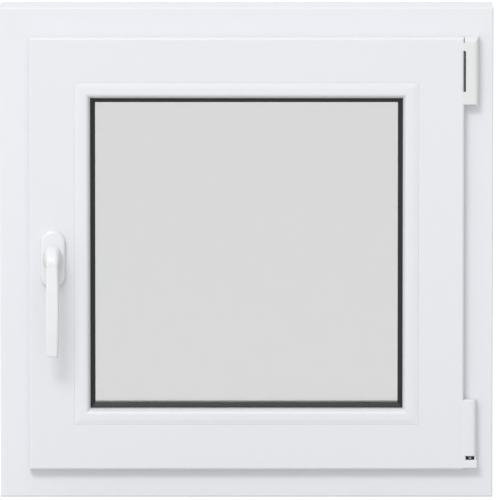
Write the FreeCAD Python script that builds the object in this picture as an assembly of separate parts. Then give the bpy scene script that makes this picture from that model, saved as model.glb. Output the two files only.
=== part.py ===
import FreeCAD, Part
import math
import os

# Tilt and turn window in white uPVC, closed, 600 x 600 mm.
# x runs to the right as seen from the room, y points outdoors, z points up.
# The origin is the middle of the frame's bottom face, and the room is at negative y.
# Sections are drawn as (y, a), where a is the distance inwards from the frame's outer edge.

V = FreeCAD.Vector

# The whole window
frame_width = 600.0
frame_height = 600.0
frame_depth = 70.0
sash_depth = 70.0
sash_step = 15.0

# Frame section
frame_face = 43.5
drain_fall = 2.5
frame_edge_radius = 2.0
outer_wall = 2.8
web = 1.3
snap_groove_width = 6.0
snap_groove_depth = 1.5
snap_groove_offset = 20.0

# Sash section
sash_overlap = 8.0
rebate_gap = 12.0
sash_face = 55.2
seal_gap = 3.0
sash_edge_radius = 3.0
stop_overlap = 8.0
bevel_run = 13.0
bevel_depth = 9.0
stop_bevel_run = 7.0
stop_bevel_depth = 5.0
corner_ease = 1.0

# Groove for the locking gear, round the sash's outer edge
gear_axis = 13.0
gear_mouth_width = 16.0
gear_mouth_depth = 3.0
gear_slot_width = 12.0
gear_slot_depth = 9.5

# Glazing bead
bead_width = 19.3
bead_depth = 14.0
bead_rise = 1.2
bead_slope_run = 6.5
bead_slope_round = 12.0
bead_nose = 4.0
bead_nose_round = 5.0
bead_fall = 4.5
bead_fall_round = 11.0
bead_wall = 1.4
bead_slant_wall = 2.0
clip_width = 3.0
clip_depth = 3.0
clip_setback = 4.0
clip_clearance = 0.3

# Double glazing
pane = 4.0
cavity = 16.0
glazing_gasket = 3.0
gasket_show = 5.8
outer_gasket_show = 2.5
gasket_cover = 6.0
glass_play = 5.3
spacer_height = 7.5

# Handle on the left stile
handle_height = 294.5
handle_inset = 29.0
rosette_width = 30.5
rosette_height = 70.5
rosette_depth = 10.0
rosette_round = 3.2
rim_turn = 45
neck_radius = 10.0
neck_play = 0.08
neck_seat = 6.0
lever_play = 0.3
lever_projection = 50.0
lever_reach = 115.0
lever_rise = 6.5
root_radius = 12.5
root_flat = 0.6
root_steps = 4
bend_radius = 15.0
bend_turn = 80.0
end_turn = 95.0
bend_width = 20.0
bend_thickness = 23.0
bend_edge_radius = 8.0
bend_steps = 10
grip_width = 14.2
grip_swell = 2.2
grip_thickness = 10.5
grip_edge_radius = 3.4
grip_end_round = 2.2
grip_steps = 4
spindle_side = 7.0
spindle_depth = 9.0
spindle_socket = 12.0
spindle_bore_radius = 6.0

# Hinges on the right stile
hinge_play = 0.3
cover_wall = 1.4
cover_side_round = 5.5
cover_ease = 1.2
inner_ease = 0.3
pin_radius = 3.0
pin_play = 0.05
knuckle_radius = 5.0
knuckle_play = 0.3
leaf_thickness = 3.0
leaf_play = 0.5

# Top hinge, measured down from the frame's top
top_cover_width = 16.8
top_cover_depth = 16.5
top_cover_drop = 34.0
top_cover_length = 83.5
top_cover_round = 8.0
stay_drop = 51.5
stay_length = 50.4
bearing_block = 6.0

# Bottom hinge, measured up from the frame's bottom
low_cover_width = 15.0
low_cover_depth = 15.5
low_cover_low = 52.0
low_cover_high = 121.3
low_cover_round = 2.0
low_leaf_low = 60.0
low_leaf_high = 110.0
bearing_width = 16.2
bearing_low = 37.2
bearing_high = 47.4
bush_radius = 5.2
bush_play = 0.4

# Holes for fixing screws in the jambs, and drain outlets in the sill
fixing_inset = 150.0
fixing_radius = 3.75
fixing_setback = 28.0
drain_inset = 140.0
drain_length = 28.0
drain_height = 5.0
drain_level = 12.0
drain_cap_margin = 4.0
drain_cap_depth = 4.5

# Places in depth, from the room outwards
frame_room = -frame_depth / 2
frame_out = frame_depth / 2
sash_room = frame_room - sash_step
sash_out = sash_room + sash_depth
lip_back = frame_room - seal_gap
stop_room = sash_out + seal_gap
bead_back = sash_room + bead_depth
glass_room = bead_back + glazing_gasket
glass_out = glass_room + 2 * pane + cavity
glazing_lip = glass_out + glazing_gasket

rosette_front = sash_room - rosette_depth

# Places in the plane of the window, from the frame's outer edge inwards
sash_edge = frame_face - sash_overlap
sash_body = frame_face + rebate_gap
stop_edge = sash_body + stop_overlap
bead_joint = sash_edge + sash_face
sightline = bead_joint + bead_width
glass_edge = bead_joint + glass_play
gasket_edge = sightline + gasket_show
spacer_edge = gasket_edge - spacer_height

# Places from left to right and in height
handle_x = -frame_width / 2 + sash_edge + handle_inset
hinge_x = frame_width / 2 - sash_edge
top_cover_high = frame_height - top_cover_drop
top_cover_low = top_cover_high - top_cover_length
stay_high = frame_height - stay_drop
stay_low = stay_high - stay_length

side_turns = {"bottom": 0, "left": 90, "top": 180, "right": 270}
far = 4 * frame_depth
touch = 0.01


def outline(corners):
    """Closed wire through (y, a, radius) corners, each rounded by its radius."""
    points = [V(0, y, a) for y, a, _ in corners]
    count = len(points)
    joints = []
    for index, (_, _, radius) in enumerate(corners):
        here = points[index]
        back = (points[index - 1] - here).normalize()
        ahead = (points[(index + 1) % count] - here).normalize()
        half = back.getAngle(ahead) / 2
        reach = radius / math.tan(half)
        inward = (back + ahead).normalize()
        middle = here + inward * (radius / math.sin(half) - radius)
        joints.append((here + back * reach, middle, here + ahead * reach))
    edges = []
    for index, (start, middle, end) in enumerate(joints):
        if start.distanceToPoint(end) > 0.001:
            edges.append(Part.Arc(start, middle, end).toShape())
        following = joints[(index + 1) % count][0]
        if end.distanceToPoint(following) > 0.001:
            edges.append(Part.makeLine(end, following))
    return Part.Wire(edges)


def section(corners, cells=()):
    """Face inside one outline, less the hollow cells."""
    face = Part.Face(outline(corners))
    for cell in cells:
        face = face.cut(Part.Face(outline([(y, a, 0) for y, a in cell])))
    return face


def cell(start, stop, low, high):
    """Four corners of one hollow cell."""
    return [(start, low), (stop, low), (stop, high), (start, high)]


def row_of_cells(start, stop, shares, low, high_at):
    """Cells side by side across the depth, with a web between neighbours."""
    free = stop - start - web * (len(shares) - 1)
    cells = []
    for share in shares:
        end = start + free * share / sum(shares)
        cells.append([(start, low), (end, low), (end, high_at(end)), (start, high_at(start))])
        start = end + web
    return cells


def mitred_bar(face, side):
    """Bar of the given section on one side of the window, its ends cut at 45 degrees."""
    upright = side in ("left", "right")
    length = frame_height if upright else frame_width
    solid = face.translated(V(-length / 2, 0, 0)).extrude(V(length, 0, 0))
    reach = gasket_edge + bead_width
    mitre = Part.makePolygon([
        V(-length / 2, -far, 0), V(length / 2, -far, 0),
        V(length / 2 - reach, -far, reach), V(reach - length / 2, -far, reach),
        V(-length / 2, -far, 0)])
    solid = solid.common(Part.Face(mitre).extrude(V(0, 2 * far, 0)))
    solid.rotate(V(0, 0, 0), V(0, 1, 0), side_turns[side])
    places = {
        "bottom": V(0, 0, 0),
        "top": V(0, 0, frame_height),
        "left": V(-frame_width / 2, 0, frame_height / 2),
        "right": V(frame_width / 2, 0, frame_height / 2),
    }
    solid.translate(places[side])
    return solid


def ring(face):
    """One piece of the given section all the way round the window."""
    bars = [mitred_bar(face, side) for side in side_turns]
    return bars[0].multiFuse(bars[1:]).removeSplitter()


def box(x0, x1, y0, y1, z0, z1):
    """Block between two corners."""
    return Part.makeBox(x1 - x0, y1 - y0, z1 - z0, V(x0, y0, z0))


def cylinder(radius, x, y, z0, z1):
    """Upright cylinder."""
    return Part.makeCylinder(radius, z1 - z0, V(x, y, z0))


def cylinder_out(radius, x, z, y0, y1):
    """Cylinder that lies along y."""
    return Part.makeCylinder(radius, y1 - y0, V(x, y0, z), V(0, 1, 0))


def save(name, shape):
    """One file for each piece."""
    shape.exportStep(os.path.join("parts", name + ".step"))


# The frame

def rebate_floor(y):
    """The floor of the frame's rebate falls outwards, so that water drains."""
    return frame_face - drain_fall * (y - frame_room) / (stop_room - frame_room)


def snap_groove(middle):
    """Shallow groove in the frame's outer face, where an extension profile can clip on."""
    half = snap_groove_width / 2
    return [(middle - half, 0, 0), (middle - half, snap_groove_depth, 0),
            (middle + half, snap_groove_depth, 0), (middle + half, 0, 0)]


def frame_section():
    """Frame profile: a flat face to the room, chambers behind it, and a stop outdoors."""
    corners = [
        (frame_room, 0, frame_edge_radius),
        *snap_groove(-snap_groove_offset),
        *snap_groove(snap_groove_offset),
        (frame_out, 0, frame_edge_radius),
        (frame_out, stop_edge - stop_bevel_run, corner_ease),
        (frame_out - stop_bevel_depth, stop_edge, corner_ease),
        (stop_room, stop_edge, 0),
        (stop_room, rebate_floor(stop_room), 0),
        (frame_room, frame_face, frame_edge_radius / 2),
    ]
    cells = row_of_cells(
        frame_room + outer_wall, frame_out - outer_wall, (1.0, 3.0, 1.2, 1.2),
        outer_wall, lambda y: rebate_floor(y) - outer_wall)
    leg_low = rebate_floor(stop_room) - outer_wall + web
    cells.append(cell(stop_room + outer_wall, frame_out - outer_wall,
                      leg_low, stop_edge - stop_bevel_run))
    return section(corners, cells)


def fixing_holes(side):
    """Two holes straight through a jamb, for the screws into the wall."""
    edge = -frame_width / 2 if side == "left" else frame_width / 2
    to_middle = 1 if side == "left" else -1
    holes = []
    for height in (fixing_inset, frame_height - fixing_inset):
        start = V(edge - to_middle * outer_wall, frame_room + fixing_setback, height)
        holes.append(Part.makeCylinder(fixing_radius, frame_face + 2 * outer_wall, start,
                                       V(to_middle, 0, 0)))
    return holes


def drain_slots():
    """Outlets through the sill's outer wall."""
    slots = []
    for x in (-frame_width / 2 + drain_inset, frame_width / 2 - drain_inset):
        slots.append(box(x - drain_length / 2, x + drain_length / 2,
                         frame_out - outer_wall, frame_out,
                         drain_level, drain_level + drain_height))
    return slots


def drain_caps():
    """Hoods over the outlets, open at the bottom."""
    caps = []
    for x in (-frame_width / 2 + drain_inset, frame_width / 2 - drain_inset):
        half = drain_length / 2 + drain_cap_margin
        low = drain_level - drain_cap_margin
        high = drain_level + drain_height + drain_cap_margin
        hood = box(x - half, x + half, frame_out, frame_out + drain_cap_depth, low, high)
        room_edges = [edge for edge in hood.Edges
                      if edge.BoundBox.YMin > frame_out + drain_cap_depth / 2]
        hood = hood.makeFillet(drain_cap_depth / 3, room_edges)
        inside = box(x - half + outer_wall, x + half - outer_wall,
                     frame_out, frame_out + drain_cap_depth - outer_wall / 2,
                     low, high - outer_wall)
        caps.append(hood.cut(inside))
    return Part.makeCompound(caps)


def frame_pieces():
    """The four bars, the drain hoods and the seal against the sash."""
    face = frame_section()
    save("frame_head", mitred_bar(face, "top"))
    save("frame_sill", mitred_bar(face, "bottom").cut(drain_slots()))
    save("frame_jamb_left", mitred_bar(face, "left").cut(fixing_holes("left")))
    save("frame_jamb_right", mitred_bar(face, "right").cut(fixing_holes("right")))
    save("drain_caps", drain_caps())
    seal = section([
        (sash_out, sash_body + frame_edge_radius, 0),
        (sash_out, stop_edge - corner_ease, 0),
        (stop_room, stop_edge - corner_ease, 0),
        (stop_room, sash_body + frame_edge_radius, 0)])
    save("frame_gasket", ring(seal))


# The sash

def sash_section():
    """Sash profile: a lip over the frame, the gear groove, chambers and the glazing rebate."""
    clip_start = sash_room + clip_setback - clip_clearance
    clip_end = sash_room + clip_setback + clip_width + clip_clearance
    clip_floor = bead_joint - clip_depth - clip_clearance
    gear = lip_back + gear_axis
    mouth_floor = sash_body + gear_mouth_depth
    slot_floor = mouth_floor + gear_slot_depth
    corners = [
        (sash_room, sash_edge, sash_edge_radius),
        (sash_room, bead_joint, corner_ease / 2),
        (clip_start, bead_joint, 0),
        (clip_start, clip_floor, 0),
        (clip_end, clip_floor, 0),
        (clip_end, bead_joint, 0),
        (glazing_lip, bead_joint, 0),
        (glazing_lip, sightline, 0),
        (sash_out - bevel_depth, sightline, corner_ease),
        (sash_out, sightline - bevel_run, sash_edge_radius),
        (sash_out, sash_body, frame_edge_radius),
        (gear + gear_mouth_width / 2, sash_body, 0),
        (gear + gear_mouth_width / 2, mouth_floor, 0),
        (gear + gear_slot_width / 2, mouth_floor, 0),
        (gear + gear_slot_width / 2, slot_floor, 0),
        (gear - gear_slot_width / 2, slot_floor, 0),
        (gear - gear_slot_width / 2, mouth_floor, 0),
        (gear - gear_mouth_width / 2, mouth_floor, 0),
        (gear - gear_mouth_width / 2, sash_body, 0),
        (lip_back, sash_body, 0),
        (lip_back, sash_edge, corner_ease),
    ]
    floor_under = bead_joint - outer_wall
    behind_gear = gear + gear_mouth_width / 2 + outer_wall
    middle = (behind_gear + sash_out) / 2
    cells = [
        cell(sash_room + outer_wall, lip_back - outer_wall,
             sash_edge + outer_wall, sash_body + web),
        cell(sash_room + outer_wall, lip_back - web, sash_body + 2 * web, clip_floor - web),
        cell(lip_back, behind_gear - web, slot_floor + web, floor_under),
        cell(behind_gear, middle - web / 2, sash_body + outer_wall, floor_under),
        cell(middle + web / 2, sash_out - outer_wall, sash_body + outer_wall, floor_under),
        [(glazing_lip + outer_wall, floor_under + web),
         (sash_out - outer_wall, floor_under + web),
         (sash_out - outer_wall, sightline - bevel_run),
         (sash_out - bevel_depth - outer_wall / 2, sightline - outer_wall),
         (glazing_lip + outer_wall, sightline - outer_wall)],
    ]
    return section(corners, cells)


def bead_section():
    """Hollow glazing bead with a clip foot that sits in the sash's groove."""
    crest = sash_room - bead_rise
    foot = sash_room + clip_setback
    corners = [
        (sash_room, bead_joint, corner_ease / 2),
        (crest, bead_joint + bead_slope_run, bead_slope_round),
        (crest, sightline - bead_nose, bead_nose_round),
        (sash_room + bead_fall, sightline, bead_fall_round),
        (bead_back, sightline, 0),
        (bead_back, sightline - gasket_cover - bead_wall, 0),
        (foot + clip_width + bead_wall, bead_joint, 0),
        (foot + clip_width, bead_joint, 0),
        (foot + clip_width, bead_joint - clip_depth, 0),
        (foot, bead_joint - clip_depth, 0),
        (foot, bead_joint, 0),
    ]
    hollow = [
        (sash_room + bead_slant_wall, bead_joint + bead_wall),
        (crest + bead_slant_wall, bead_joint + bead_slope_run),
        (crest + bead_slant_wall, sightline - bead_nose - bead_wall),
        (sash_room + bead_depth / 2, sightline - bead_slant_wall),
        (bead_back - bead_wall, sightline - bead_slant_wall),
        (bead_back - bead_wall, sightline - gasket_cover - bead_wall),
        (foot + clip_width, bead_joint + bead_wall),
    ]
    return section(corners, [hollow])


def spindle():
    """Square bar that carries the handle's turn into the sash."""
    half = spindle_side / 2
    return box(handle_x - half, handle_x + half,
               rosette_front + neck_seat - spindle_socket, sash_room + spindle_depth,
               handle_height - half, handle_height + half)


def sash_pieces():
    """The four bars of the sash, its seal and the beads that hold the glass."""
    face = sash_section()
    save("sash_top_rail", mitred_bar(face, "top"))
    save("sash_bottom_rail", mitred_bar(face, "bottom"))
    bore = cylinder_out(spindle_bore_radius, handle_x, handle_height,
                        sash_room, sash_room + outer_wall)
    save("sash_stile_handle", mitred_bar(face, "left").cut(bore))
    save("sash_stile_hinge", mitred_bar(face, "right"))
    seal = section([
        (lip_back, sash_edge + corner_ease, 0),
        (lip_back, frame_face - frame_edge_radius, 0),
        (frame_room, frame_face - frame_edge_radius, 0),
        (frame_room, sash_edge + corner_ease, 0)])
    save("sash_gasket", ring(seal))
    bead = bead_section()
    save("bead_top", mitred_bar(bead, "top"))
    save("bead_bottom", mitred_bar(bead, "bottom"))
    save("bead_left", mitred_bar(bead, "left"))
    save("bead_right", mitred_bar(bead, "right"))


# The glazing

def pane_of_glass(start):
    """One pane, from its room-side face outwards."""
    return box(-frame_width / 2 + glass_edge, frame_width / 2 - glass_edge,
               start, start + pane, glass_edge, frame_height - glass_edge)


def glazing_pieces():
    """Two panes, the bar and sealant between them, and a seal on either side."""
    save("glass_room_side", pane_of_glass(glass_room))
    save("glass_outer_side", pane_of_glass(glass_out - pane))
    spacer = section([
        (glass_room + pane, spacer_edge, 0),
        (glass_room + pane, gasket_edge, 0),
        (glass_out - pane, gasket_edge, 0),
        (glass_out - pane, spacer_edge, 0)])
    save("spacer_bar", ring(spacer))
    sealant = section([
        (glass_room + pane, glass_edge, 0),
        (glass_room + pane, spacer_edge, 0),
        (glass_out - pane, spacer_edge, 0),
        (glass_out - pane, glass_edge, 0)])
    save("edge_sealant", ring(sealant))
    inner = section([
        (bead_back, sightline - gasket_cover, 0),
        (bead_back, sightline + corner_ease, corner_ease),
        (glass_room - glazing_gasket / 3, gasket_edge, 0),
        (glass_room, gasket_edge, 0),
        (glass_room, sightline - gasket_cover, 0)])
    save("glazing_gasket_room", ring(inner))
    outer = section([
        (glass_out, sightline - gasket_cover, 0),
        (glass_out, sightline + outer_gasket_show, 0),
        (glass_out + glazing_gasket / 3, sightline + outer_gasket_show, 0),
        (glazing_lip, sightline - corner_ease, 0),
        (glazing_lip, sightline - gasket_cover, 0)])
    save("glazing_gasket_outer", ring(outer))


# The handle

def rounded_ring(middle, across, width, depth, radius):
    """Rounded rectangle: width along x, depth along the direction across."""
    along = V(1, 0, 0)
    arcs = []
    for x_sign, sign in ((1, 1), (-1, 1), (-1, -1), (1, -1)):
        centre = (middle + along * (x_sign * (width / 2 - radius))
                  + across * (sign * (depth / 2 - radius)))
        ends = [centre + along * (x_sign * radius), centre + across * (sign * radius)]
        if x_sign != sign:
            ends.reverse()
        crown = centre + (along * x_sign + across * sign) * (radius / math.sqrt(2))
        arcs.append((ends[0], crown, ends[1]))
    edges = []
    for index, (start, crown, end) in enumerate(arcs):
        edges.append(Part.Arc(start, crown, end).toShape())
        following = arcs[(index + 1) % len(arcs)][0]
        if end.distanceToPoint(following) > touch:
            edges.append(Part.makeLine(end, following))
    return Part.Wire(edges)


def between(first, last, share):
    """Value at a share of the way from first to last."""
    return first + (last - first) * share


def rim_steps(radius):
    """A rounded rim in small steps: how far back from the face and how far in from the side."""
    steps = []
    for angle in range(0, 91, rim_turn):
        turn = math.radians(angle)
        steps.append((radius * (1 - math.sin(turn)), radius * (1 - math.cos(turn))))
    return steps


def rosette():
    """Plate with round ends under the lever."""
    rings = []
    for setback, inset in [(rosette_depth, 0)] + rim_steps(rosette_round):
        rings.append(rounded_ring(V(handle_x, rosette_front + setback, handle_height), V(0, 0, 1),
                                  rosette_width - 2 * inset, rosette_height - 2 * inset,
                                  rosette_width / 2 - inset))
    plate = Part.makeLoft(rings, True, True)
    return plate.cut(cylinder_out(neck_radius + neck_play, handle_x, handle_height,
                                  rosette_front, sash_room))


def inward(angle):
    """Direction from the lever's centre line towards the inside of its bend.

    At an angle of 0 the line runs straight into the room, and at 90 straight down.
    """
    turn = math.radians(angle)
    return V(0, math.sin(turn), -math.cos(turn))


def lever_sections():
    """Middle, angle, width, thickness and edge radius of each cross-section, root to tip."""
    bend_drop = bend_radius * (1 - math.cos(math.radians(bend_turn)))
    grip_drop = lever_reach + lever_rise - grip_end_round - bend_drop
    grip_radius = grip_drop / (inward(end_turn).z - inward(bend_turn).z)
    outermost = sash_room - lever_projection + grip_thickness / 2
    bend_end = outermost + grip_radius * (1 - inward(bend_turn).y)
    bend_centre = V(handle_x, bend_end + bend_radius * inward(bend_turn).y,
                    handle_height + lever_rise - bend_radius)
    grip_centre = bend_centre + inward(bend_turn) * (grip_radius - bend_radius)
    seat = V(handle_x, rosette_front - lever_play, handle_height)
    root_end = bend_centre - inward(0) * bend_radius

    sections = []
    for step in range(root_steps):
        share = step / root_steps
        eased = share * share * (3 - 2 * share)
        middle = V(handle_x, between(seat.y, root_end.y, share), between(seat.z, root_end.z, eased))
        sections.append((middle, 0,
                         between(2 * root_radius, bend_width, eased),
                         between(2 * root_radius, bend_thickness, eased),
                         between(root_radius - root_flat / 2, bend_edge_radius, eased)))
    for step in range(bend_steps):
        share = step / bend_steps
        angle = between(0, bend_turn, share)
        sections.append((bend_centre - inward(angle) * bend_radius, angle,
                         between(bend_width, grip_width, share),
                         between(bend_thickness, grip_thickness, share),
                         between(bend_edge_radius, grip_edge_radius, share)))
    for step in range(grip_steps + 1):
        share = step / grip_steps
        angle = between(bend_turn, end_turn, share)
        sections.append((grip_centre - inward(angle) * grip_radius, angle,
                         grip_width + grip_swell * math.sin(math.pi * share),
                         grip_thickness, grip_edge_radius))
    tip = sections[-1][0]
    ahead = inward(end_turn - 90)
    for setback, inset in rim_steps(grip_end_round)[1:]:
        sections.append((tip + ahead * (grip_end_round - setback), end_turn,
                         grip_width - 2 * inset, grip_thickness - 2 * inset,
                         grip_edge_radius - inset))
    return sections


def lever():
    """Root, bend and bowed grip, with the neck that turns in the rosette."""
    rings = [rounded_ring(middle, -inward(angle), width, thickness, radius)
             for middle, angle, width, thickness, radius in lever_sections()]
    grip = Part.makeLoft(rings, True, True)
    neck = cylinder_out(neck_radius, handle_x, handle_height,
                        rosette_front - lever_play, rosette_front + neck_seat)
    return grip.fuse(neck).cut(spindle())


def handle_pieces():
    """Rosette, lever and spindle."""
    save("handle_rosette", rosette())
    save("handle_lever", lever())
    save("handle_spindle", spindle())


# The hinges

def cover_form(x0, x1, depth, low, high, top_round, side_round, ease):
    """Block on the frame's face, round along its right side and its top."""
    front = frame_room - depth
    profile = outline([(frame_room, low, 0), (front, low, ease),
                       (front, high, top_round), (frame_room, high, 0)])
    body = Part.Face(profile).translated(V(x0, 0, 0)).extrude(V(x1 - x0, 0, 0))
    block = box(x0, x1, front, frame_room, low, high)
    for x, radius in ((x1, side_round), (x0, ease)):
        corner = [edge for edge in block.Edges
                  if edge.BoundBox.YMax < front + touch and edge.BoundBox.XLength < touch
                  and abs(edge.BoundBox.XMin - x) < touch]
        block = block.makeFillet(radius, corner)
    return block.common(body)


def hollow_cover(x0, x1, depth, low, high, top_round, low_wall):
    """Cover with an even wall, open towards the frame."""
    outside = cover_form(x0, x1, depth, low, high, top_round, cover_side_round, cover_ease)
    inside = cover_form(x0 + cover_wall, x1 - cover_wall, depth - cover_wall,
                        low + low_wall, high - cover_wall, max(top_round - cover_wall, inner_ease),
                        cover_side_round - cover_wall, inner_ease)
    return outside.cut(inside)


def knuckle(axis_x, axis_y, low, high):
    """Leaf that runs from the sash's edge to a round knuckle, bored for the pin."""
    leaf = box(hinge_x, axis_x, axis_y - leaf_thickness / 2, axis_y + leaf_thickness / 2, low, high)
    strap = leaf.fuse(cylinder(knuckle_radius, axis_x, axis_y, low, high)).removeSplitter()
    return strap.cut(cylinder(pin_radius + pin_play, axis_x, axis_y, low, high))


def top_hinge():
    """Bearing on the frame, the stay arm's knuckle on its pin, and a cover over both."""
    x0 = hinge_x + hinge_play
    x1 = x0 + top_cover_width
    axis_x = (x0 + x1) / 2
    axis_y = frame_room - top_cover_depth / 2
    cover = hollow_cover(x0, x1, top_cover_depth, top_cover_low, top_cover_high,
                         top_cover_round, cover_wall)
    slot = box(x0, x0 + cover_wall, sash_room, lip_back, stay_low, stay_high)
    save("top_hinge_cover", cover.cut(slot))
    save("stay_arm_knuckle", knuckle(axis_x, axis_y, stay_low, stay_high))

    low = stay_low - knuckle_play - bearing_block
    high = stay_high + knuckle_play + bearing_block
    bearing = box(x0 + 2 * cover_wall, x1 - 2 * cover_wall,
                  frame_room - leaf_thickness, frame_room, low, high)
    for z0, z1 in ((low, stay_low - knuckle_play), (stay_high + knuckle_play, high)):
        bearing = bearing.fuse(box(axis_x - knuckle_radius, axis_x + knuckle_radius,
                                   axis_y - knuckle_radius, frame_room, z0, z1))
    bore = cylinder(pin_radius + pin_play, axis_x, axis_y, low, high)
    save("top_hinge_bearing", bearing.removeSplitter().cut(bore))
    save("top_hinge_pin", cylinder(pin_radius, axis_x, axis_y, low, high))


def bottom_hinge():
    """Sash leaf on a pivot that stands in the corner bearing, with a cover over the leaf."""
    x0 = hinge_x + hinge_play
    x1 = x0 + low_cover_width
    axis_x = (x0 + x1) / 2
    axis_y = frame_room - low_cover_depth / 2
    cover = hollow_cover(x0, x1, low_cover_depth, low_cover_low, low_cover_high,
                         low_cover_round, 0)
    reach = leaf_thickness / 2 + leaf_play
    slot = box(x0, x0 + cover_wall, axis_y - reach, axis_y + reach,
               low_leaf_low - leaf_play, low_leaf_high + leaf_play)
    save("bottom_hinge_cover", cover.cut(slot))
    save("bottom_hinge_leaf", knuckle(axis_x, axis_y, low_leaf_low, low_leaf_high))

    bush_high = low_cover_low - bush_play
    bush = cylinder(bush_radius, axis_x, axis_y, bearing_high, bush_high)
    pivot = cylinder(pin_radius, axis_x, axis_y, bearing_high, low_leaf_high)
    save("bottom_hinge_pivot", bush.fuse(pivot).removeSplitter())
    save("bottom_hinge_bearing", cover_form(x0, x0 + bearing_width, low_cover_depth, bearing_low,
                                            bearing_high, cover_ease, cover_ease, cover_ease))


os.makedirs("parts", exist_ok=True)
frame_pieces()
sash_pieces()
glazing_pieces()
handle_pieces()
top_hinge()
bottom_hinge()
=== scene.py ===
import math

import bmesh
import bpy
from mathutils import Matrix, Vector


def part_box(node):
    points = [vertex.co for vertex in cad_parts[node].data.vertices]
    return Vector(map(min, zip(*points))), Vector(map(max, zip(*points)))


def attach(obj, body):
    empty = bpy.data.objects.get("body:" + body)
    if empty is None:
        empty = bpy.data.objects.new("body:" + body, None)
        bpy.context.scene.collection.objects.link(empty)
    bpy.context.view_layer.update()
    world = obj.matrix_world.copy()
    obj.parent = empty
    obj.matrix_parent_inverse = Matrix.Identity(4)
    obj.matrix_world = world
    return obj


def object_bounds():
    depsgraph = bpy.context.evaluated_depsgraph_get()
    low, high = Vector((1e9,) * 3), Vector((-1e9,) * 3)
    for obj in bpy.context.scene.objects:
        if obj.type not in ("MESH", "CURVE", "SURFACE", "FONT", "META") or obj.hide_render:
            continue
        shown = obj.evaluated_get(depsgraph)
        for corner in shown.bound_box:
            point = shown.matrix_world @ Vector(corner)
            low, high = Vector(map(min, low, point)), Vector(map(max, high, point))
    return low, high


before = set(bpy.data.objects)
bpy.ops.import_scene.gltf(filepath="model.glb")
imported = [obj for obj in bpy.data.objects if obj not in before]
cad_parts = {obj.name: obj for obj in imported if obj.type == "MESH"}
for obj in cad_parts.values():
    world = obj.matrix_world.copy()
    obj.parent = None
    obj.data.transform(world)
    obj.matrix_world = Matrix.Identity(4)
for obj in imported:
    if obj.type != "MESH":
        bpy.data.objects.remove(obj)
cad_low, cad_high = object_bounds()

# Looks of a white uPVC tilt and turn window, seen from the room.
# The window's own frame has x right, y outdoors and z up. Values are in metres,
# apart from those of the small hinge pieces, which are in millimetres.

MM = 0.001
width = cad_high.x - cad_low.x
height = cad_high.z - cad_low.z
middle = Vector(((cad_low.x + cad_high.x) / 2, 0.0, (cad_low.z + cad_high.z) / 2))

# Camera
view_distance = 13.0
view_elevation = math.radians(6.8)
view_lens = 767.0
view_sensor = 36.0
view_shift_x = 0.0070
view_shift_y = -0.0014
view_end = 100.0

# Lamp: a softbox to the upper left of the window, in the room
lamp_direction = Vector((-0.32, -1.0, 0.82)).normalized()
lamp_distance = 8.0
lamp_width = 3.0
lamp_height = 1.8
lamp_watts = 226.0

# Light of the world: its base, and what is added ahead and behind, overhead and on the left
sky_base = 0.15
sky_ahead = 0.94
sky_above = 0.74
sky_left = 0.55

# Floor: the grey that light falls on, and the thinner grey and glow that the eye sees
floor_reach = 60.0
floor_gap = 0.2 * MM
floor_grey = (0.68, 0.68, 0.68)
floor_thin_grey = (0.3, 0.3, 0.3)
floor_glow = 0.86

# Colours, linear
white = (1.0, 1.0, 1.0)
# Painted light: the frame's white is a little lighter than the sash's, though both are the same
# plastic
white_frame = (0.790, 0.798, 0.831)
white_upvc = (0.778, 0.786, 0.818)
white_bead = (0.780, 0.788, 0.817)
white_top_cover = (0.748, 0.758, 0.760)
white_low_cover = (0.780, 0.787, 0.812)
white_paint = (0.800, 0.805, 0.825)
gasket_black = (0.010, 0.010, 0.011)
gasket_pale = (0.80, 0.805, 0.815)
spacer_black = (0.02, 0.02, 0.021)
# Painted shade: the dark grey of the strip that stands for the shade in the top cover's slot
slot_shade_grey = (0.045, 0.047, 0.043)
steel_grey = (0.50, 0.50, 0.51)
steel_black = (0.014, 0.014, 0.015)
glass_tint = (0.765, 0.767, 0.7665)

# Other values of the materials
plastic_ior = 1.5
glass_ior = 1.5
rubber_specular = 0.38
weld_half_width = 0.25 * MM
paint_softness = 2.0 * MM
bevel_samples = 8
along_x = (0.02, 1.0, 1.0)
along_z = (1.0, 1.0, 0.02)
brushed = (1.0, 1.0, 0.1)

# Edges of the small hinge pieces
sharp_angle = math.radians(25)
round_segments = 3
circle_steps = 32

# Dark strip in the top cover's slot, painted shade for the deep slot, in millimetres
shade_strip_gap = 0.05
shade_strip_far_side = 1.9
shade_strip_proud = 0.1
shade_strip_depth = 5.0
shade_strip_end_gap = 0.5
shade_strip_rounding = 0.25

# Lips between the hinge covers and the sash, in millimetres. Seen from above, a lip starts
# on the sash's face, rises to its crest at the cover and goes back into the groove.
lip_start = 2.3
lip_shoulder = 1.6
lip_shoulder_rise = 0.2
lip_crest = 0.9
lip_crest_rise = 0.4
lip_turn = 1.3
lip_turn_depth = 0.4
lip_foot = 0.2
lip_sash_gap = 0.1
lip_depth = 3.5
lip_rounding = 0.12
lip_end_gap = 0.6
top_cover_slope = 8.0

# Guide of the bottom pivot, in millimetres
guide_clearance = 0.1
guide_front_setback = 0.3
guide_inset = 0.1
guide_sink = 0.02
guide_top_gap = 0.4
guide_rounding = 0.15
guide_steps = 12

# Adjusting screw of the bottom pivot, in millimetres
screw_radius = 1.5
screw_length = 1.6
screw_chamfer = 0.15
screw_socket_radius = 0.8
screw_socket_floor_radius = 0.75
screw_socket_depth = 0.75
screw_proud = 0.25


# Small helpers for node materials

def opaque(color):
    """A colour with full alpha, as a socket takes it."""
    return (*color, 1.0)


def clear_nodes(owner):
    """Turns on the nodes of a material or of the world and empties the tree."""
    owner.use_nodes = True
    owner.node_tree.nodes.clear()


def add(owner, kind, **values):
    """One more node of a material or of the world, with its settings."""
    node = owner.node_tree.nodes.new(kind)
    for name, value in values.items():
        setattr(node, name, value)
    return node


def link(owner, source, target):
    """Joins an output socket to an input socket."""
    owner.node_tree.links.new(source, target)


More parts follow.
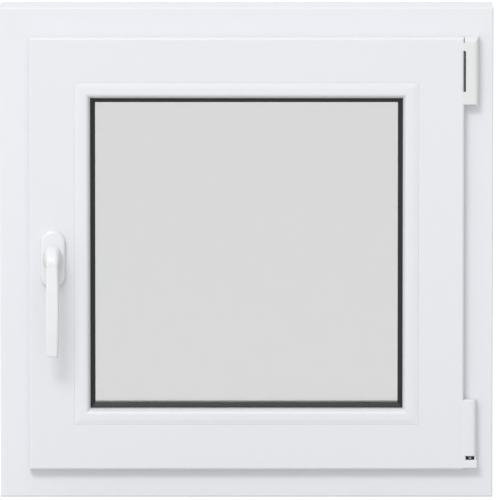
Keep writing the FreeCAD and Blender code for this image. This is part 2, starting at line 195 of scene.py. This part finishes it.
def new_material(name):
    """A material with an empty node tree apart from its output and one principled shader."""
    material = bpy.data.materials.new(name)
    clear_nodes(material)
    output = add(material, "ShaderNodeOutputMaterial")
    shader = add(material, "ShaderNodeBsdfPrincipled")
    link(material, shader.outputs["BSDF"], output.inputs["Surface"])
    return material, shader


def math_node(owner, operation, *terms):
    """The result of one sum on sockets or numbers."""
    node = add(owner, "ShaderNodeMath", operation=operation)
    for index, term in enumerate(terms):
        if isinstance(term, (int, float)):
            node.inputs[index].default_value = term
        else:
            link(owner, term, node.inputs[index])
    return node.outputs[0]


def noise(material, scale, detail=2.0, stretch=(1.0, 1.0, 1.0)):
    """Noise in the window's own coordinates; scale is in cycles per metre."""
    place = add(material, "ShaderNodeTexCoord")
    mapping = add(material, "ShaderNodeMapping")
    mapping.inputs["Scale"].default_value = stretch
    texture = add(material, "ShaderNodeTexNoise")
    texture.inputs["Scale"].default_value = scale
    texture.inputs["Detail"].default_value = detail
    link(material, place.outputs["Object"], mapping.inputs["Vector"])
    link(material, mapping.outputs["Vector"], texture.inputs["Vector"])
    return texture.outputs["Fac"]


def spread(material, value, low, high):
    """Takes a 0 to 1 value to a range."""
    node = add(material, "ShaderNodeMapRange")
    node.inputs["To Min"].default_value = low
    node.inputs["To Max"].default_value = high
    link(material, value, node.inputs["Value"])
    return node.outputs["Result"]


def tinted(material, color, amount, value):
    """A colour that varies a little with value."""
    mix = add(material, "ShaderNodeMix", data_type="RGBA")
    mix.inputs["A"].default_value = opaque([channel * (1 - amount) for channel in color])
    mix.inputs["B"].default_value = opaque([channel * (1 + amount) for channel in color])
    link(material, value, mix.inputs["Factor"])
    return mix.outputs["Result"]


def bump(material, shader, value, depth, normal=None):
    """Relief of the given depth in metres."""
    node = add(material, "ShaderNodeBump")
    node.inputs["Strength"].default_value = 1.0
    node.inputs["Distance"].default_value = depth
    link(material, value, node.inputs["Height"])
    if normal is not None:
        link(material, normal, node.inputs["Normal"])
    link(material, node.outputs["Normal"], shader.inputs["Normal"])
    return node.outputs["Normal"]


def seam_at_mitres(material, half_width):
    """1 on the 45 degree joints of the corners and 0 elsewhere."""
    place = add(material, "ShaderNodeTexCoord")
    axes = add(material, "ShaderNodeSeparateXYZ")
    link(material, place.outputs["Object"], axes.inputs["Vector"])
    across = math_node(material, "ABSOLUTE", axes.outputs["X"])
    up = math_node(material, "SUBTRACT", axes.outputs["Z"], middle.z)
    up = math_node(material, "ABSOLUTE", up)
    off = math_node(material, "SUBTRACT", across, up)
    off = math_node(material, "SUBTRACT", off, (width - height) / 2)
    off = math_node(material, "ABSOLUTE", off)
    fall = add(material, "ShaderNodeMapRange", interpolation_type="SMOOTHSTEP")
    fall.inputs["From Max"].default_value = half_width * math.sqrt(2)
    fall.inputs["To Min"].default_value = 1.0
    fall.inputs["To Max"].default_value = 0.0
    link(material, off, fall.inputs["Value"])
    return fall.outputs["Result"]


# Materials

def upvc(name, color, stretch):
    """Extruded white plastic: faint lines along the bar and a fine weld line at each mitre."""
    material, shader = new_material(name)
    lines = noise(material, scale=700.0, detail=1.0, stretch=stretch)
    cloud = noise(material, scale=9.0, detail=3.0)
    link(material, tinted(material, color, 0.004, cloud), shader.inputs["Base Color"])
    link(material, spread(material, lines, 0.30, 0.38), shader.inputs["Roughness"])
    shader.inputs["IOR"].default_value = plastic_ior
    seam = seam_at_mitres(material, weld_half_width)
    relief = bump(material, shader, lines, depth=0.004 * MM)
    groove = math_node(material, "MULTIPLY", seam, -1.0)
    bump(material, shader, groove, depth=0.02 * MM, normal=relief)
    return material


def moulded(name, color, roughness, softness=0.0):
    """Moulded or powder coated piece with a very fine orange peel.

    Softness is the width over which the paint rounds off the casting's shallow ridges.
    """
    material, shader = new_material(name)
    peel = noise(material, scale=1400.0, detail=2.0)
    cloud = noise(material, scale=30.0, detail=2.0)
    link(material, tinted(material, color, 0.006, cloud), shader.inputs["Base Color"])
    link(material, spread(material, peel, roughness - 0.04, roughness + 0.04),
         shader.inputs["Roughness"])
    shader.inputs["IOR"].default_value = plastic_ior
    ridge = None
    if softness:
        rounding = add(material, "ShaderNodeBevel", samples=bevel_samples)
        rounding.inputs["Radius"].default_value = softness
        ridge = rounding.outputs["Normal"]
    bump(material, shader, peel, depth=0.006 * MM, normal=ridge)
    return material


def rubber(name, color):
    """Matt gasket with a fine grain."""
    material, shader = new_material(name)
    grain = noise(material, scale=2200.0, detail=3.0)
    cloud = noise(material, scale=60.0, detail=2.0)
    link(material, tinted(material, color, 0.2, cloud), shader.inputs["Base Color"])
    link(material, spread(material, grain, 0.38, 0.5), shader.inputs["Roughness"])
    shader.inputs["Specular IOR Level"].default_value = rubber_specular
    bump(material, shader, grain, depth=0.02 * MM)
    return material


def metal(name, color, roughness, metallic):
    """Plated or blackened steel with brushed streaks."""
    material, shader = new_material(name)
    streaks = noise(material, scale=900.0, detail=2.0, stretch=brushed)
    link(material, tinted(material, color, 0.08, streaks), shader.inputs["Base Color"])
    link(material, spread(material, streaks, roughness - 0.08, roughness + 0.08),
         shader.inputs["Roughness"])
    shader.inputs["Metallic"].default_value = metallic
    bump(material, shader, streaks, depth=0.01 * MM)
    return material


def clear_glass(name):
    """Float glass, very slightly grey green, with a barely uneven surface."""
    material, shader = new_material(name)
    shader.inputs["Base Color"].default_value = opaque(glass_tint)
    shader.inputs["Transmission Weight"].default_value = 1.0
    shader.inputs["IOR"].default_value = glass_ior
    haze = noise(material, scale=6.0, detail=1.0)
    link(material, spread(material, haze, 0.0, 0.004), shader.inputs["Roughness"])
    return material


materials = {
    "frame_x": upvc("frame upvc along x", white_frame, along_x),
    "frame_z": upvc("frame upvc along z", white_frame, along_z),
    "sash_x": upvc("sash upvc along x", white_upvc, along_x),
    "sash_z": upvc("sash upvc along z", white_upvc, along_z),
    "bead_x": upvc("bead along x", white_bead, along_x),
    "bead_z": upvc("bead along z", white_bead, along_z),
    "top_cover": moulded("top hinge cover plastic", white_top_cover, roughness=0.36),
    "low_cover": moulded("bottom hinge cover plastic", white_low_cover, roughness=0.36),
    "paint": moulded("white powder coat", white_paint, roughness=0.30, softness=paint_softness),
    "gasket": rubber("gasket rubber", gasket_black),
    "pale_gasket": rubber("pale sash seal", gasket_pale),
    "sealant": rubber("edge sealant", gasket_black),
    "spacer": moulded("dark spacer bar", spacer_black, roughness=0.4),
    "steel": metal("plated steel", steel_grey, roughness=0.35, metallic=1.0),
    "dark_steel": metal("dark steel", steel_black, roughness=0.4, metallic=0.0),
    # Painted shade: material of the dark strip in the top cover's slot
    "painted_slot_shade": moulded("painted shade in stay slot", slot_shade_grey, roughness=0.5),
    "glass": clear_glass("float glass"),
}

finishes = {
    "frame_head": "frame_x",
    "frame_sill": "frame_x",
    "frame_jamb_left": "frame_z",
    "frame_jamb_right": "frame_z",
    "frame_gasket": "gasket",
    "drain_caps": "low_cover",
    "sash_top_rail": "sash_x",
    "sash_bottom_rail": "sash_x",
    "sash_stile_handle": "sash_z",
    "sash_stile_hinge": "sash_z",
    "sash_gasket": "pale_gasket",
    "bead_top": "bead_x",
    "bead_bottom": "bead_x",
    "bead_left": "bead_z",
    "bead_right": "bead_z",
    "glass_room_side": "glass",
    "glass_outer_side": "glass",
    "spacer_bar": "spacer",
    "edge_sealant": "sealant",
    "glazing_gasket_room": "gasket",
    "glazing_gasket_outer": "gasket",
    "handle_rosette": "paint",
    "handle_lever": "paint",
    "handle_spindle": "steel",
    "top_hinge_cover": "top_cover",
    "top_hinge_bearing": "steel",
    "top_hinge_pin": "steel",
    "stay_arm_knuckle": "dark_steel",
    "bottom_hinge_cover": "low_cover",
    "bottom_hinge_leaf": "steel",
    "bottom_hinge_pivot": "dark_steel",
    "bottom_hinge_bearing": "low_cover",
}
for node_name, finish in finishes.items():
    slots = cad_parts[node_name].data.materials
    slots.clear()
    slots.append(materials[finish])


# Small pieces on the hinges, in millimetres

def add_piece(name, work, material):
    """Puts a finished bmesh into the scene as a piece of the window."""
    mesh = bpy.data.meshes.new(name)
    work.to_mesh(mesh)
    work.free()
    mesh.materials.append(material)
    piece = bpy.data.objects.new(name, mesh)
    bpy.context.scene.collection.objects.link(piece)
    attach(piece, "window")


def skin(work, rings):
    """Closed skin over rings of points: a band between each two, and a face at both ends."""
    rows = [[work.verts.new((x * MM, y * MM, z * MM)) for x, y, z in ring] for ring in rings]
    work.faces.new(rows[0])
    work.faces.new(rows[-1])
    count = len(rows[0])
    for first, second in zip(rows, rows[1:]):
        for here in range(count):
            after = (here + 1) % count
            work.faces.new((first[here], first[after], second[after], second[here]))
    bmesh.ops.recalc_face_normals(work, faces=work.faces[:])


def strip(name, outline, low, high, rounding, material):
    """Upright strip with rounded edges, its outline given in x and y."""
    work = bmesh.new()
    skin(work, [[(x, y, z) for x, y in outline] for z in (low, high)])
    sharp = [edge for edge in work.edges if edge.calc_face_angle(0.0) > sharp_angle]
    bmesh.ops.bevel(work, geom=sharp, offset=rounding * MM, segments=round_segments,
                    affect="EDGES", profile=0.5)
    add_piece(name, work, material)


def turned(name, profile, center, material):
    """Round piece about an axis along y; profile is radius and depth behind the front."""
    work = bmesh.new()
    turns = [2 * math.pi * step / circle_steps for step in range(circle_steps)]
    skin(work, [[(center[0] + radius * math.cos(turn), center[1] + depth,
                  center[2] + radius * math.sin(turn)) for turn in turns]
                for radius, depth in profile])
    add_piece(name, work, material)


sash_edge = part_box("sash_stile_hinge")[1].x / MM
sash_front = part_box("sash_stile_hinge")[0].y / MM
top_cover = [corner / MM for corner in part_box("top_hinge_cover")]
low_cover = [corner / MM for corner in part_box("bottom_hinge_cover")]
knuckle = [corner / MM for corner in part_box("stay_arm_knuckle")]
bearing = [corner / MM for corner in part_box("bottom_hinge_bearing")]
pivot = [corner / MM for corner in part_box("bottom_hinge_pivot")]
slot_low = knuckle[0].z
slot_high = knuckle[1].z
axis_x = (pivot[0].x + pivot[1].x) / 2
axis_y = (pivot[0].y + pivot[1].y) / 2


def make_slot_shade_strip():
    """Dark strip in the slot of the top cover, where the stay arm enters: painted shade for the deep
    slot.
    """
    near = sash_edge + shade_strip_gap
    far = sash_edge + shade_strip_far_side
    front = top_cover[0].y - shade_strip_proud
    back = top_cover[0].y + shade_strip_depth
    strip("stay_slot_shade_strip", [(near, front), (far, front), (far, back), (near, back)],
          slot_low + shade_strip_end_gap, slot_high - shade_strip_end_gap, shade_strip_rounding,
          materials["painted_slot_shade"])


def cover_lip(name, cover_edge, low, high, material):
    """Soft lip of a hinge cover that closes the groove beside the sash's rounded edge."""
    outline = [(sash_edge - lip_start, sash_front),
               (sash_edge - lip_shoulder, sash_front - lip_shoulder_rise),
               (cover_edge + lip_crest, sash_front - lip_crest_rise),
               (cover_edge + lip_turn, sash_front + lip_turn_depth),
               (cover_edge + lip_foot, sash_front + lip_depth),
               (sash_edge - lip_sash_gap, sash_front + lip_depth)]
    strip(name, outline, low, high, lip_rounding, material)


def make_cover_lips():
    """Lips above and below the top cover's slot, and one along the bottom cover."""
    cover_lip("top_cover_lip_low", top_cover[0].x, top_cover[0].z + lip_end_gap,
              slot_low, materials["top_cover"])
    cover_lip("top_cover_lip_high", top_cover[0].x, slot_high,
              top_cover[1].z - top_cover_slope, materials["top_cover"])
    cover_lip("low_cover_lip", low_cover[0].x, bearing[0].z + lip_end_gap,
              low_cover[1].z - lip_end_gap, materials["low_cover"])


def make_pivot_guide():
    """White guide on both sides of the bottom pivot and behind it, open to the room."""
    reach = pivot[1].x - axis_x + guide_clearance
    front = low_cover[0].y + guide_front_setback
    back = low_cover[1].y - guide_inset
    left = low_cover[0].x + guide_inset
    right = low_cover[1].x - guide_inset
    behind = []
    for step in range(guide_steps + 1):
        turn = math.pi - math.pi * step / guide_steps
        behind.append((axis_x + reach * math.cos(turn), axis_y + reach * math.sin(turn)))
    outline = [(left, front), (axis_x - reach, front), *behind,
               (axis_x + reach, front), (right, front), (right, back), (left, back)]
    strip("pivot_guide", outline, bearing[1].z - guide_sink, low_cover[0].z - guide_top_gap,
          guide_rounding, materials["low_cover"])


def make_pivot_screw():
    """Small adjusting screw in front of the bottom pivot, with a round socket."""
    profile = [(screw_socket_floor_radius, screw_socket_depth),
               (screw_socket_radius, screw_chamfer),
               (screw_socket_radius + screw_chamfer, 0.0),
               (screw_radius - screw_chamfer, 0.0),
               (screw_radius, screw_chamfer),
               (screw_radius, screw_length)]
    center = (axis_x, pivot[0].y - screw_proud, (bearing[1].z + low_cover[0].z) / 2)
    turned("pivot_screw", profile, center, materials["steel"])


# Floor, world, lamp and camera

def seen_by_eye(owner):
    """1 for rays from the camera, in reflections and through glass."""
    rays = add(owner, "ShaderNodeLightPath")
    total = rays.outputs["Is Camera Ray"]
    for name in ("Is Glossy Ray", "Is Transmission Ray"):
        total = math_node(owner, "MAXIMUM", total, rays.outputs[name])
    return total


def light_or_eye(owner, light, seen, output):
    """Gives one shader to the rays of the light and another to the eye."""
    mix = add(owner, "ShaderNodeMixShader")
    link(owner, seen_by_eye(owner), mix.inputs["Fac"])
    link(owner, light.outputs[0], mix.inputs[1])
    link(owner, seen.outputs[0], mix.inputs[2])
    link(owner, mix.outputs[0], output.inputs["Surface"])


def floor_material():
    """Grey to the light; to the eye white, apart from the object's soft shadow."""
    material = bpy.data.materials.new("floor")
    clear_nodes(material)
    output = add(material, "ShaderNodeOutputMaterial")
    plain = add(material, "ShaderNodeBsdfDiffuse")
    plain.inputs["Color"].default_value = opaque(floor_grey)
    thin = add(material, "ShaderNodeBsdfDiffuse")
    thin.inputs["Color"].default_value = opaque(floor_thin_grey)
    glow = add(material, "ShaderNodeEmission")
    glow.inputs["Strength"].default_value = floor_glow
    both = add(material, "ShaderNodeAddShader")
    link(material, thin.outputs[0], both.inputs[0])
    link(material, glow.outputs[0], both.inputs[1])
    light_or_eye(material, plain, both, output)
    return material


def make_floor():
    """Wide pale floor just under the window."""
    reach = floor_reach
    mesh = bpy.data.meshes.new("floor")
    corners = [(-reach, -reach, 0), (reach, -reach, 0), (reach, reach, 0), (-reach, reach, 0)]
    mesh.from_pydata(corners, [], [(0, 1, 2, 3)])
    mesh.materials.append(floor_material())
    floor = bpy.data.objects.new("floor", mesh)
    floor.location.z = cad_low.z - floor_gap
    bpy.context.scene.collection.objects.link(floor)


def make_world():
    """White to the eye; as light, a studio that is bright ahead, behind, overhead and on the left."""
    world = bpy.data.worlds.new("studio")
    bpy.context.scene.world = world
    clear_nodes(world)
    output = add(world, "ShaderNodeOutputWorld")
    seen = add(world, "ShaderNodeBackground")
    seen.inputs["Strength"].default_value = 1.0
    seen.inputs["Color"].default_value = opaque(white)
    light = add(world, "ShaderNodeBackground")
    direction = add(world, "ShaderNodeTexCoord")
    axes = add(world, "ShaderNodeSeparateXYZ")
    link(world, direction.outputs["Generated"], axes.inputs["Vector"])
    facing = math_node(world, "MULTIPLY", axes.outputs["Y"], axes.outputs["Y"])
    strength = math_node(world, "MULTIPLY_ADD", facing, sky_ahead, sky_base)
    strength = math_node(world, "MULTIPLY_ADD", axes.outputs["Z"], sky_above, strength)
    leftward = math_node(world, "MULTIPLY", axes.outputs["X"], -1.0)
    leftward = math_node(world, "MAXIMUM", leftward, 0.0)
    strength = math_node(world, "MULTIPLY_ADD", leftward, sky_left, strength)
    strength = math_node(world, "MAXIMUM", strength, 0.0)
    link(world, strength, light.inputs["Strength"])
    light_or_eye(world, light, seen, output)


def look_at(thing, spot, target):
    """Puts a lamp or camera at a spot and turns it to its target."""
    thing.location = spot
    thing.rotation_mode = "QUATERNION"
    thing.rotation_quaternion = (target - spot).to_track_quat("-Z", "Y")


def make_lamp():
    """The softbox."""
    data = bpy.data.lights.new("softbox", "AREA")
    data.shape = "RECTANGLE"
    data.size = lamp_width
    data.size_y = lamp_height
    data.energy = lamp_watts
    lamp = bpy.data.objects.new("softbox", data)
    bpy.context.scene.collection.objects.link(lamp)
    look_at(lamp, middle + lamp_direction * lamp_distance, middle)


def make_camera():
    """Long lens straight in front of the window and a little above it."""
    data = bpy.data.cameras.new("camera")
    data.lens = view_lens
    data.sensor_width = view_sensor
    data.shift_x = view_shift_x
    data.shift_y = view_shift_y
    data.clip_end = view_end
    camera = bpy.data.objects.new("camera", data)
    bpy.context.scene.collection.objects.link(camera)
    back = Vector((0.0, -math.cos(view_elevation), math.sin(view_elevation)))
    look_at(camera, middle + back * view_distance, middle)
    bpy.context.scene.camera = camera


make_slot_shade_strip()
make_cover_lips()
make_pivot_guide()
make_pivot_screw()
make_floor()
make_world()
make_lamp()
make_camera()
bpy.context.scene.view_settings.view_transform = "Standard"
